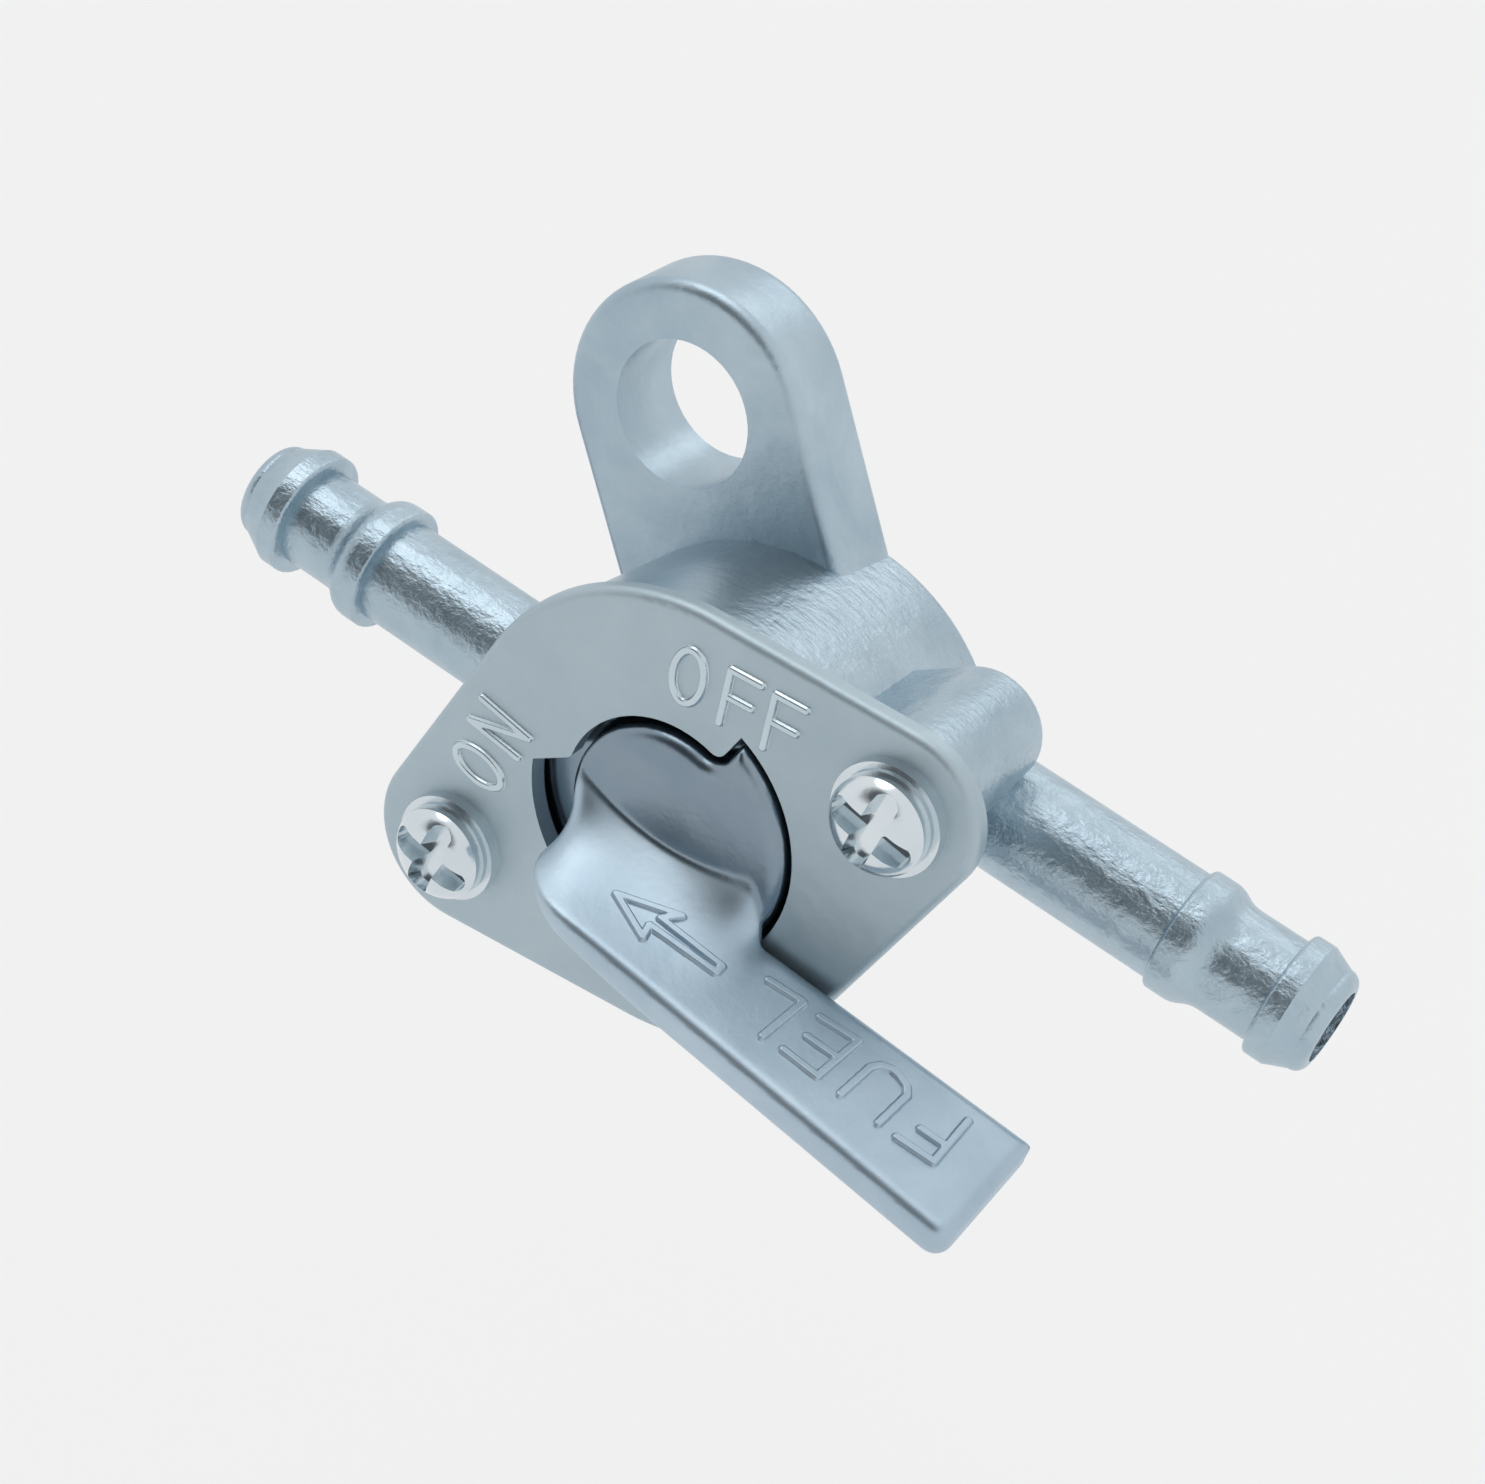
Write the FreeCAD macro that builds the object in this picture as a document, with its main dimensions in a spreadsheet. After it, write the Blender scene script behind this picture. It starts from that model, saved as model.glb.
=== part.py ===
import FreeCAD, Part
import math
import os
import Sketcher
from FreeCAD import Matrix, Placement, Rotation, Vector

# Inline fuel tap: a cast body with a mounting eye and two hose spigots, and a
# quarter-turn lever that a screwed plate holds in the body's valve chamber.
# The origin is the centre of the mounting eye. X runs from the left screw to
# the right one, Y from the plate to the back, and Z from the valve to the eye.
# Every piece is drawn about the valve axis with the plate's front face at
# zero depth, and its Placement carries it to the eye.

# Driving sizes, in millimetres and degrees
SIZES = (
    # Mounting eye and the lug that carries it
    ("eye_radius", 4.0),
    ("eye_height", 18.0),
    ("lug_radius", 7.1),
    ("lug_thickness", 5.0),
    ("lug_setback", 10.4),
    ("lug_round", 0.7),
    # Round valve housing
    ("drum_radius", 12.0),
    ("drum_back_radius", 10.85),
    ("drum_round", 0.6),
    ("chamber_radius", 9.0),
    # Screw ears, cast with draft
    ("screw_reach", 14.1),
    ("right_screw_angle", 0.8),
    ("left_screw_angle", 183.9),
    ("boss_inset", 0.05),
    ("boss_shift", 0.6),
    ("boss_radius", 3.55),
    ("boss_depth", 9.2),
    ("boss_draft", 3.0),
    ("boss_round", 0.7),
    ("screw_hole_depth", 7.0),
    # Hose spigots
    ("spigot_angle", -36.9),
    ("spigot_offset", 4.6),
    ("spigot_depth", 10.35),
    ("stem_radius", 3.03),
    ("neck_radius", 2.88),
    ("right_barb_radius", 3.38),
    ("right_stem", 23.75),
    ("right_barb_pitch", 5.8),
    ("right_tip", 3.05),
    ("left_barb_radius", 3.7),
    ("left_stem", 24.45),
    ("left_barb_pitch", 5.95),
    ("left_tip", 3.5),
    ("barb_crest_round", 0.25),
    ("barb_land", 0.9),
    ("barb_taper", 1.8),
    ("tip_radius", 2.85),
    ("tip_round", 0.7),
    ("fuel_bore_radius", 2.0),
    ("bore_overrun", 0.6),
    ("port_radius", 1.6),
    # Retainer plate
    ("plate_thickness", 1.0),
    ("plate_radius", 12.45),
    ("right_ear_radius", 4.6),
    ("left_ear_radius", 4.95),
    ("plate_round", 0.5),
    ("opening_radius", 7.85),
    ("tab_radius", 5.75),
    ("tab_height", 3.65),
    ("tab_angle", 33.7),
    ("tab_round", 0.6),
    ("screw_clearance", 0.15),
    # Lever hub and valve disc
    ("hub_radius", 5.25),
    ("hub_proud", 0.42),
    ("hub_round", 0.7),
    ("hub_hollow", 1.2),
    ("stop_radius", 7.5),
    ("stop_start", 31.0),
    ("stop_span", 148.5),
    ("running_gap", 0.05),
    ("disc_thickness", 2.5),
    ("channel_width", 3.4),
    ("channel_depth", 1.2),
    # Lever blade
    ("blade_azimuth", -39.1),
    ("blade_lean", 15.0),
    ("blade_offset", 1.75),
    ("blade_thickness", 2.8),
    ("blade_reach", 24.4),
    ("blade_rise", 1.5),
    ("blade_clearance", 0.3),
    ("foot_depth", 2.5),
    ("foot_inset", 0.4),
    ("foot_start", 2.4),
    ("foot_end", 5.8),
    ("blade_height", 6.5),
    ("blade_flare", 1.4),
    ("blade_heel", 4.5),
    ("heel_straight", 1.9),
    ("heel_turn", 4.1),
    ("heel_edge", 1.35),
    ("heel_side", 11.0),
    ("blade_back_round", 1.25),
    ("blade_edge_round", 0.65),
    ("tip_corner_round", 0.9),
    # Concave root that joins the blade to the low half of the hub
    ("root_toe_middle", 0.75),
    ("root_toe_end", 0.9),
    ("root_blend", 4.2),
    ("root_heel", 5.1),
    ("root_heel_radius", 4.85),
    ("root_nose", 5.8),
    ("root_end", 6.9),
    ("root_slant", 20.0),
    ("root_end_round", 1.0),
    ("root_sink", 0.04),
    ("root_inset", 0.8),
    # Seals and spring
    ("ring_section", 1.3),
    ("groove_clearance", 0.15),
    ("seal_thickness", 1.8),
    ("wave_thickness", 0.2),
    ("wave_height", 0.5),
    ("wave_width", 0.9),
    ("wave_count", 3.0),
    ("wave_rim_gap", 0.1),
    ("wave_seat_gap", 0.03),
    ("spring_space", 0.56),
    # Screws and spring washers
    ("thread_radius", 1.5),
    ("thread_gap", 0.05),
    ("screw_length", 7.0),
    ("screw_chamfer", 0.5),
    ("head_radius", 2.6),
    ("head_height", 1.75),
    ("head_rim", 0.8),
    ("head_chamfer", 0.15),
    ("crown_radius", 1.45),
    ("crown_drop", 0.08),
    ("crown_bow", 1.6),
    ("recess_length", 4.1),
    ("recess_width", 1.4),
    ("recess_bow", 0.8),
    ("recess_turn", 45.0),
    ("recess_depth", 1.2),
    ("recess_draft", 12.0),
    ("washer_thickness", 0.7),
    ("washer_radius", 3.0),
    ("washer_gap", 0.15),
    ("washer_split", 9.0),
    ("washer_turn", 120.0),
)

doc = FreeCAD.newDocument("fuel_tap")
dims = doc.addObject("Spreadsheet::Sheet", "dims")
for row, (alias, size) in enumerate(SIZES, start=1):
    dims.set("A%d" % row, alias)
    dims.set("B%d" % row, str(size))
    dims.setAlias("B%d" % row, alias)
doc.recompute()

# Depths behind the plate's front face, worked out from the driving sizes
PLATE_BACK = "dims.plate_thickness"
DISC_FRONT = "(dims.plate_thickness + dims.spring_space)"
DISC_BACK = "(dims.plate_thickness + dims.spring_space + dims.disc_thickness)"
SEAL_FRONT = "(dims.plate_thickness + dims.spring_space + dims.disc_thickness + dims.running_gap)"
CHAMBER_FLOOR = "(" + SEAL_FRONT + " + dims.seal_thickness)"
DRUM_BACK = "(dims.lug_setback + dims.lug_thickness)"
DISC_RADIUS = "(dims.chamber_radius - dims.running_gap)"

# Direction of each screw from the valve axis
SIDES = (("right", "dims.right_screw_angle"), ("left", "dims.left_screw_angle"))


def number(expression):
    """Value of an expression of sheet cells."""
    found = dims.evalExpression(str(expression))
    return float(getattr(found, "Value", found))


def new_piece(name):
    """Body drawn about the valve axis and carried to the mounting eye."""
    body = doc.addObject("PartDesign::Body", name)
    body.Label = name
    body.setExpression("Placement.Base.y", "-(dims.lug_setback + dims.lug_thickness / 2)")
    body.setExpression("Placement.Base.z", "-dims.eye_height")
    return body


def origin_part(body, role):
    """Plane or axis of a body's own origin."""
    return next(item for item in body.Origin.OriginFeatures if item.Role == role)


def new_sketch(body, name, role="XZ_Plane"):
    """Sketch on an origin plane of its own body."""
    sketch = body.newObject("Sketcher::SketchObject", name)
    sketch.AttachmentSupport = [(origin_part(body, role), "")]
    sketch.MapMode = "FlatFace"
    return sketch


def front_sketch(body, name, depth):
    """Sketch that faces the front, at a depth behind the plate's front face."""
    sketch = new_sketch(body, name)
    sketch.setExpression("AttachmentOffset.Base.z", "-(%s)" % depth)
    return sketch


def bind(sketch, constraint, expression):
    """Add a size to a sketch and tie it to the sheet."""
    index = sketch.addConstraint(constraint)
    sketch.setExpression("Constraints[%d]" % index, str(expression))


def polar(radius, angle):
    """Place on a front sketch at a radius and an angle from the X axis."""
    return "(%s) * cos(%s)" % (radius, angle), "(%s) * sin(%s)" % (radius, angle)


def pin(sketch, item, vertex, place):
    """Hold a vertex at a place given by two expressions."""
    for kind, expression in zip(("DistanceX", "DistanceY"), place):
        rule = Sketcher.Constraint(kind, -1, 1, item, vertex, number(expression))
        bind(sketch, rule, expression)


def arc_between(start, end, radius, turn):
    """Short arc between two points; turn is 1 for anticlockwise, -1 for clockwise."""
    chord = end - start
    half = chord.Length / 2
    rise = math.sqrt(max(radius * radius - half * half, 0.0))
    left = Vector(-chord.y, chord.x, 0).normalize()
    centre = (start + end) * 0.5 + left * rise * turn
    first, last = (start, end) if turn > 0 else (end, start)
    angles = [math.atan2(point.y - centre.y, point.x - centre.x) for point in (first, last)]
    return Part.ArcOfCircle(Part.Circle(centre, Vector(0, 0, 1), radius), *angles)


def contour(sketch, corners, bends=None):
    """Closed outline through the corners; bends gives a side's radius and turn."""
    bends = bends or {}
    count = len(corners)
    points = [Vector(number(x), number(y), 0) for x, y in corners]
    ends = []
    for side, start in enumerate(points):
        end = points[(side + 1) % count]
        if side in bends:
            radius, turn = bends[side]
            item = sketch.addGeometry(arc_between(start, end, number(radius), turn), False)
            ends.append((item, 1, 2) if turn > 0 else (item, 2, 1))
        else:
            item = sketch.addGeometry(Part.LineSegment(start, end), False)
            ends.append((item, 1, 2))
    for side, (item, _, last) in enumerate(ends):
        following, first, _ = ends[(side + 1) % count]
        sketch.addConstraint(Sketcher.Constraint("Coincident", item, last, following, first))
    for (item, first, _), place in zip(ends, corners):
        pin(sketch, item, first, place)
    for side, (radius, _) in bends.items():
        rule = Sketcher.Constraint("Radius", ends[side][0], number(radius))
        bind(sketch, rule, radius)


def circle(sketch, x, y, radius):
    """Circle with its centre and radius tied to the sheet."""
    ring = Part.Circle(Vector(number(x), number(y), 0), Vector(0, 0, 1), number(radius))
    item = sketch.addGeometry(ring, False)
    if (x, y) == (0, 0):
        sketch.addConstraint(Sketcher.Constraint("Coincident", item, 3, -1, 1))
    else:
        pin(sketch, item, 3, (x, y))
    bind(sketch, Sketcher.Constraint("Radius", item, number(radius)), radius)


def pad(body, name, sketch, length, backwards=True, draft=None):
    """Raise a front sketch, towards the back unless told otherwise."""
    feature = body.newObject("PartDesign::Pad", name)
    feature.Profile = sketch
    feature.Reversed = backwards
    feature.setExpression("Length", length)
    if draft:
        feature.setExpression("TaperAngle", draft)
    doc.recompute()
    return feature


def pocket(body, name, sketch, length, draft=None):
    """Cut a front sketch towards the back and check that it removed material."""
    before = body.Shape.Volume
    feature = body.newObject("PartDesign::Pocket", name)
    feature.Profile = sketch
    feature.Reversed = False
    feature.setExpression("Length", length)
    if draft:
        feature.setExpression("TaperAngle", draft)
    doc.recompute()
    if body.Shape.Volume >= before - 1e-6:
        raise RuntimeError(name + " cut nothing")
    return feature


def turn(body, name, sketch, axis, kind="Revolution", angle=None):
    """Turn a sketch about one of its own axes."""
    feature = body.newObject("PartDesign::" + kind, name)
    feature.Profile = sketch
    feature.ReferenceAxis = (sketch, [axis])
    if angle:
        feature.setExpression("Angle", angle)
    else:
        feature.Angle = 360
    doc.recompute()
    return feature


def round_edges(body, name, radius, wanted):
    """Round the edges of the body that the test picks out."""
    base = body.Tip
    names = [
        "Edge%d" % index
        for index, edge in enumerate(base.Shape.Edges, start=1)
        if wanted(edge)
    ]
    if not names:
        raise RuntimeError(name + " found no edge")
    feature = body.newObject("PartDesign::Fillet", name)
    feature.Base = (base, names)
    feature.setExpression("Radius", radius)
    doc.recompute()
    return feature


def spots(edge):
    """Start, middle and end of an edge."""
    first, last = edge.FirstParameter, edge.LastParameter
    return [edge.valueAt(place) for place in (first, (first + last) / 2, last)]


def at_depth(edge, depth):
    """True for an edge that lies flat at a depth."""
    return all(abs(spot.y - depth) < 1e-4 for spot in spots(edge))


# Cast body: the lug first, so that its rounds run down into the drum

body = new_piece("body")
lug_foot = "dims.drum_radius / 2"
lug_sketch = front_sketch(body, "lug_outline", "dims.lug_setback")
contour(
    lug_sketch,
    [
        ("dims.lug_radius", lug_foot),
        ("dims.lug_radius", "dims.eye_height"),
        ("0", "dims.eye_height + dims.lug_radius"),
        ("-dims.lug_radius", "dims.eye_height"),
        ("-dims.lug_radius", lug_foot),
    ],
    {1: ("dims.lug_radius", 1), 2: ("dims.lug_radius", 1)},
)
pad(body, "lug", lug_sketch, "dims.lug_thickness")
lug_front = number("dims.lug_setback")
lug_back = number(DRUM_BACK)
foot_level = number(lug_foot)
round_edges(
    body,
    "lug_rounds",
    "dims.lug_round",
    lambda edge: (at_depth(edge, lug_front) or at_depth(edge, lug_back))
    and spots(edge)[1].z > foot_level + 1e-3,
)

# Drum, turned about the valve axis with a rounded back rim
drum_sketch = new_sketch(body, "drum_profile", "XY_Plane")
contour(
    drum_sketch,
    [
        ("0", PLATE_BACK),
        ("dims.drum_radius", PLATE_BACK),
        ("dims.drum_back_radius", DRUM_BACK + " - dims.drum_round"),
        ("dims.drum_back_radius - dims.drum_round", DRUM_BACK),
        ("0", DRUM_BACK),
    ],
    {2: ("dims.drum_round", 1)},
)
turn(body, "drum", drum_sketch, "V_Axis")


# Screw ears: flat-topped webs that end in drafted bosses

def make_ear(name, angle):
    """Ear that reaches out from the drum towards its screw."""
    sketch = front_sketch(body, name + "_outline", PLATE_BACK)
    heading = Rotation(Vector(0, 0, 1), number(angle))
    sketch.AttachmentOffset = Placement(sketch.AttachmentOffset.Base, heading)
    foot = "dims.drum_radius / 2"
    middle = "(dims.screw_reach - dims.boss_inset)"
    low = "dims.boss_shift - dims.boss_radius"
    high = "dims.boss_shift + dims.boss_radius"
    contour(
        sketch,
        [
            (foot, low),
            (middle, low),
            (middle + " + dims.boss_radius", "dims.boss_shift"),
            (middle, high),
            (foot, high),
        ],
        {1: ("dims.boss_radius", 1), 2: ("dims.boss_radius", 1)},
    )
    pad(body, name, sketch, "dims.boss_depth", draft="-dims.boss_draft")


for word, angle in SIDES:
    make_ear(word + "_ear", angle)
boss_back = number(PLATE_BACK + " + dims.boss_depth")
drum_radius = number("dims.drum_radius")
round_edges(
    body,
    "ear_rounds",
    "dims.boss_round",
    lambda edge: at_depth(edge, boss_back)
    and math.hypot(spots(edge)[1].x, spots(edge)[1].z) > drum_radius + 0.1,
)


# Hose spigots, side by side across the valve axis and half a turn apart

def spigot_sketch(name, side):
    """Sketch whose horizontal axis is the spigot's centre line."""
    sketch = new_sketch(body, name)
    sign, half_turn = ("-", 0) if side == "right" else ("", 180)
    flat_turn = Rotation(Vector(0, 0, 1), number("dims.spigot_angle") + half_turn)
    sketch.AttachmentOffset = Placement(Vector(0, 0, 0), flat_turn)
    across = sign + "sin(dims.spigot_angle) * dims.spigot_offset"
    rise = "-1 * %scos(dims.spigot_angle) * dims.spigot_offset" % sign
    sketch.setExpression("AttachmentOffset.Base.x", across)
    sketch.setExpression("AttachmentOffset.Base.y", rise)
    sketch.setExpression("AttachmentOffset.Base.z", "-dims.spigot_depth")
    return sketch


def spigot_end(side):
    """Distance from the spigot's middle to its open end."""
    return "(dims.%s_stem + dims.%s_barb_pitch + dims.%s_tip)" % (side, side, side)


def barb(rim, crest):
    """Corners of a rounded barb, from its far side back to its rim."""
    return [
        (rim + " + dims.barb_crest_round + dims.barb_land", crest),
        (rim + " + dims.barb_crest_round", crest),
        (rim, crest + " - dims.barb_crest_round"),
    ]


def make_spigot(side):
    """Turn one spigot: a stem, two barbs with a neck between them, and a tip."""
    sketch = spigot_sketch(side + "_spigot_profile", side)
    end = spigot_end(side)
    crest = "dims.%s_barb_radius" % side
    inner = "dims.%s_stem" % side
    outer = "(dims.%s_stem + dims.%s_barb_pitch)" % (side, side)
    shoulder = inner + " + dims.barb_crest_round + dims.barb_land"
    drop = "(%s - dims.neck_radius)" % crest
    bow = "(dims.barb_taper^2 + %s^2) / (4 * %s)" % (drop, drop)
    corners = [
        ("0", "0"),
        (end, "0"),
        (end, "dims.tip_radius - dims.tip_round"),
        (end + " - dims.tip_round", "dims.tip_radius"),
    ]
    corners += barb(outer, crest)
    corners += [
        (outer, "dims.neck_radius"),
        (shoulder + " + dims.barb_taper", "dims.neck_radius"),
        (shoulder + " + dims.barb_taper / 2", "(dims.neck_radius + %s) / 2" % crest),
    ]
    corners += barb(inner, crest)
    corners += [(inner, "dims.stem_radius"), ("0", "dims.stem_radius")]
    bends = {
        2: ("dims.tip_round", 1),
        5: ("dims.barb_crest_round", 1),
        8: (bow, -1),
        9: (bow, 1),
        11: ("dims.barb_crest_round", 1),
    }
    contour(sketch, corners, bends)
    turn(body, side + "_spigot", sketch, "H_Axis")


for word, angle in SIDES:
    make_spigot(word)

# Valve chamber, ports, fuel bores, screw holes and the mounting eye
chamber_sketch = front_sketch(body, "chamber_outline", PLATE_BACK)
circle(chamber_sketch, 0, 0, "dims.chamber_radius")
pocket(body, "chamber", chamber_sketch, CHAMBER_FLOOR + " - " + PLATE_BACK)

PORT_X = "sin(dims.spigot_angle) * dims.spigot_offset"
PORT_Z = "cos(dims.spigot_angle) * dims.spigot_offset"
PORTS = (("-(%s)" % PORT_X, PORT_Z), (PORT_X, "-(%s)" % PORT_Z))
port_sketch = front_sketch(body, "port_outline", CHAMBER_FLOOR)
for port_x, port_z in PORTS:
    circle(port_sketch, port_x, port_z, "dims.port_radius")
pocket(body, "ports", port_sketch, "dims.spigot_depth - " + CHAMBER_FLOOR)

BORE_START = "-dims.port_radius - dims.bore_overrun"
for word, angle in SIDES:
    bore_profile = spigot_sketch(word + "_bore_profile", word)
    bore_end = spigot_end(word) + " + dims.bore_overrun"
    contour(
        bore_profile,
        [
            (BORE_START, "0"),
            (bore_end, "0"),
            (bore_end, "dims.fuel_bore_radius"),
            (BORE_START, "dims.fuel_bore_radius"),
        ],
    )
    turn(body, word + "_bore", bore_profile, "H_Axis", "Groove")

screw_hole_sketch = front_sketch(body, "screw_hole_outline", PLATE_BACK)
for word, angle in SIDES:
    circle(screw_hole_sketch, *polar("dims.screw_reach", angle), "dims.thread_radius")
pocket(body, "screw_holes", screw_hole_sketch, "dims.screw_hole_depth")

eye_sketch = front_sketch(body, "eye_outline", "dims.lug_setback")
circle(eye_sketch, "0", "dims.eye_height", "dims.eye_radius")
pocket(body, "eye", eye_sketch, "dims.lug_thickness")

# Retainer plate: a disc and two ears under common tangents, with a stop tab

plate = new_piece("retainer_plate")
plate_sketch = front_sketch(plate, "plate_outline", "0")


def ear_side(word, angle, turned):
    """Where a common tangent touches the plate's disc and one of its ears."""
    ear_radius = "dims.%s_ear_radius" % word
    spread = "acos((dims.plate_radius - %s) / dims.screw_reach) / (1 deg)" % ear_radius
    bearing = "%s %s %s" % (angle, turned, spread)
    centre_x, centre_z = polar("dims.screw_reach", angle)
    rim_x, rim_z = polar(ear_radius, bearing)
    return polar("dims.plate_radius", bearing), (centre_x + " + " + rim_x, centre_z + " + " + rim_z)


right_over, right_under = (ear_side(*SIDES[0], turned) for turned in "+-")
left_over, left_under = (ear_side(*SIDES[1], turned) for turned in "-+")
contour(
    plate_sketch,
    [
        right_over[0], left_over[0], left_over[1], left_under[1],
        left_under[0], right_under[0], right_under[1], right_over[1],
    ],
    {
        0: ("dims.plate_radius", 1),
        2: ("dims.left_ear_radius", 1),
        4: ("dims.plate_radius", 1),
        6: ("dims.right_ear_radius", 1),
    },
)
pad(plate, "plate_blank", plate_sketch, "dims.plate_thickness")
round_edges(plate, "plate_rim_round", "dims.plate_round", lambda edge: at_depth(edge, 0))

TAB_OUT = "sqrt(dims.opening_radius^2 - dims.tab_height^2)"
TAB_IN = "sqrt(dims.tab_radius^2 - dims.tab_height^2)"
opening_sketch = front_sketch(plate, "opening_outline", "0")
contour(
    opening_sketch,
    [
        ("-" + TAB_OUT, "dims.tab_height"),
        ("0", "-dims.opening_radius"),
        polar("dims.opening_radius", "dims.tab_angle"),
        polar("dims.tab_radius", "dims.tab_angle"),
        ("-" + TAB_IN, "dims.tab_height"),
    ],
    {
        0: ("dims.opening_radius", 1),
        1: ("dims.opening_radius", 1),
        3: ("dims.tab_radius", 1),
    },
)
pocket(plate, "opening", opening_sketch, "dims.plate_thickness")
tab_corners = [("-" + TAB_IN, "dims.tab_height"), polar("dims.tab_radius", "dims.tab_angle")]
tab_corners = [(number(x), number(z)) for x, z in tab_corners]
round_edges(
    plate,
    "tab_rounds",
    "dims.tab_round",
    lambda edge: any(
        all(math.hypot(spot.x - x, spot.z - z) < 1e-3 for spot in spots(edge))
        for x, z in tab_corners
    ),
)
plate_hole_sketch = front_sketch(plate, "plate_hole_outline", "0")
hole_radius = "dims.thread_radius + dims.screw_clearance"
for word, angle in SIDES:
    circle(plate_hole_sketch, *polar("dims.screw_reach", angle), hole_radius)
pocket(plate, "plate_holes", plate_hole_sketch, "dims.plate_thickness")

# Lever: blade, hub, stop sector and valve disc in one casting


def blade_frame(along, slide, lean):
    """Placement on the front plane of a sketch that runs along the blade."""
    azimuth = number("dims.blade_azimuth")
    heading = Rotation(Vector(0, 0, 1), azimuth)
    shift = heading.multVec(Vector(along, slide, 0))
    return Placement(shift, heading * lean)


# The blade's flat face stands on the hub and leans back from the viewer
blade_form = doc.addObject("PartDesign::Body", "blade_form")
blade_sketch = new_sketch(blade_form, "blade_outline")
face_tilt = Rotation(Vector(1, 0, 0), 90 + number("dims.blade_lean"))
blade_sketch.AttachmentOffset = blade_frame(0, -number("dims.blade_offset"), face_tilt)
TIP_HEIGHT = "(dims.blade_height + dims.blade_flare)"
HEEL_DROP = "(dims.blade_height - dims.heel_straight)"
HEEL_BOW = "(dims.heel_turn^2 + %s^2) / (2 * dims.heel_turn)" % HEEL_DROP
contour(
    blade_sketch,
    [
        ("-dims.blade_heel", "-dims.blade_rise"),
        ("dims.blade_reach", "-dims.blade_rise"),
        ("dims.blade_reach", TIP_HEIGHT + " - dims.tip_corner_round"),
        ("dims.blade_reach - dims.tip_corner_round", TIP_HEIGHT),
        ("dims.heel_turn - dims.blade_heel", "dims.blade_height"),
        ("-dims.blade_heel", "dims.heel_straight"),
    ],
    {2: ("dims.tip_corner_round", 1), 4: (HEEL_BOW, 1)},
)
pad(blade_form, "blade", blade_sketch, "dims.blade_thickness", backwards=False)

# Flat underside that clears the plate
under_sketch = front_sketch(blade_form, "underside_outline", "-dims.blade_clearance")
circle(under_sketch, 0, 0, "dims.blade_reach * 2")
pocket(blade_form, "underside", under_sketch, "dims.blade_thickness")


# Heel that curves round to the blade's back
heel_sketch = new_sketch(blade_form, "heel_outline")
over_blade = Placement(Vector(0, 0, 2 * number(TIP_HEIGHT)), Rotation())
lean_turn = Rotation(Vector(1, 0, 0), number("dims.blade_lean"))
heel_sketch.AttachmentOffset = blade_frame(0, -number("dims.blade_offset"), lean_turn) * over_blade
TAPER = "(dims.blade_thickness - dims.heel_edge)"
TAPER_BOW = "(dims.heel_side^2 + %s^2) / (2 * %s)" % (TAPER, TAPER)
contour(
    heel_sketch,
    [
        ("-dims.blade_heel", "-dims.heel_edge"),
        ("dims.heel_side - dims.blade_heel", "-dims.blade_thickness"),
        ("dims.heel_side - dims.blade_heel", "-2 * dims.blade_thickness"),
        ("-2 * dims.blade_heel", "-2 * dims.blade_thickness"),
        ("-2 * dims.blade_heel", "-dims.heel_edge"),
    ],
    {0: (TAPER_BOW, 1)},
)
pocket(blade_form, "heel_wall", heel_sketch, "4 * " + TIP_HEIGHT)


def blade_places(edge):
    """Three points of an edge along the blade, up its face and out from it."""
    return [blade_sketch.Placement.inverse().multVec(spot) for spot in spots(edge)]


def on_back_rim(edge):
    """True for an edge round the blade's back, save along its underside."""
    places = blade_places(edge)
    least = number("dims.heel_edge") - 1e-3
    taper_end = number("dims.heel_side - dims.blade_heel")
    back = all(place.z > least for place in places)
    seam = all(abs(place.x - taper_end) < 1e-3 for place in places)
    return back and not seam and not at_depth(edge, -number("dims.blade_clearance"))


def on_front_rim(edge):
    """True for an edge round the blade's face."""
    return all(abs(place.z) < 1e-4 for place in blade_places(edge))


round_edges(blade_form, "blade_back_round", "dims.blade_back_round", on_back_rim)
round_edges(blade_form, "blade_face_round", "dims.blade_edge_round", on_front_rim)

# Foot that fills the blade's underside over the hub
foot_sketch = front_sketch(blade_form, "foot_outline", "-dims.foot_depth / 2")
foot_turn = Rotation(Vector(0, 0, 1), number("dims.blade_azimuth"))
foot_sketch.AttachmentOffset = Placement(foot_sketch.AttachmentOffset.Base, foot_turn)
FOOT_FRONT = "-(dims.blade_offset + dims.foot_inset)"
FOOT_BACK = "-(dims.blade_offset + dims.blade_thickness)"
contour(
    foot_sketch,
    [
        ("-dims.foot_start", FOOT_BACK),
        ("dims.foot_end", FOOT_BACK),
        ("dims.foot_end", FOOT_FRONT),
        ("-dims.foot_start", FOOT_FRONT),
    ],
)
pad(blade_form, "foot", foot_sketch, "dims.foot_depth")

lever = new_piece("lever")

# Hub with a stop sector: the sector's two ends meet the plate's tab
HOLLOW_TURN = "asin(dims.hub_hollow / (dims.hub_radius + dims.hub_hollow)) / (1 deg)"
HOLLOW_REACH = "sqrt(dims.hub_radius^2 + 2 * dims.hub_radius * dims.hub_hollow)"
STOP_END = "(dims.stop_start - dims.stop_span)"
hub_sketch = front_sketch(lever, "hub_outline", "-dims.hub_proud")
contour(
    hub_sketch,
    [
        polar("dims.stop_radius", STOP_END),
        polar("dims.stop_radius", "dims.stop_start"),
        polar(HOLLOW_REACH, "dims.stop_start"),
        polar("dims.hub_radius", "dims.stop_start + " + HOLLOW_TURN),
        polar("dims.hub_radius", "dims.stop_start + 180 - dims.stop_span / 2"),
        polar("dims.hub_radius", STOP_END + " - " + HOLLOW_TURN),
        polar(HOLLOW_REACH, STOP_END),
    ],
    {
        0: ("dims.stop_radius", 1),
        2: ("dims.hub_hollow", -1),
        3: ("dims.hub_radius", 1),
        4: ("dims.hub_radius", 1),
        5: ("dims.hub_hollow", -1),
    },
)
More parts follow.
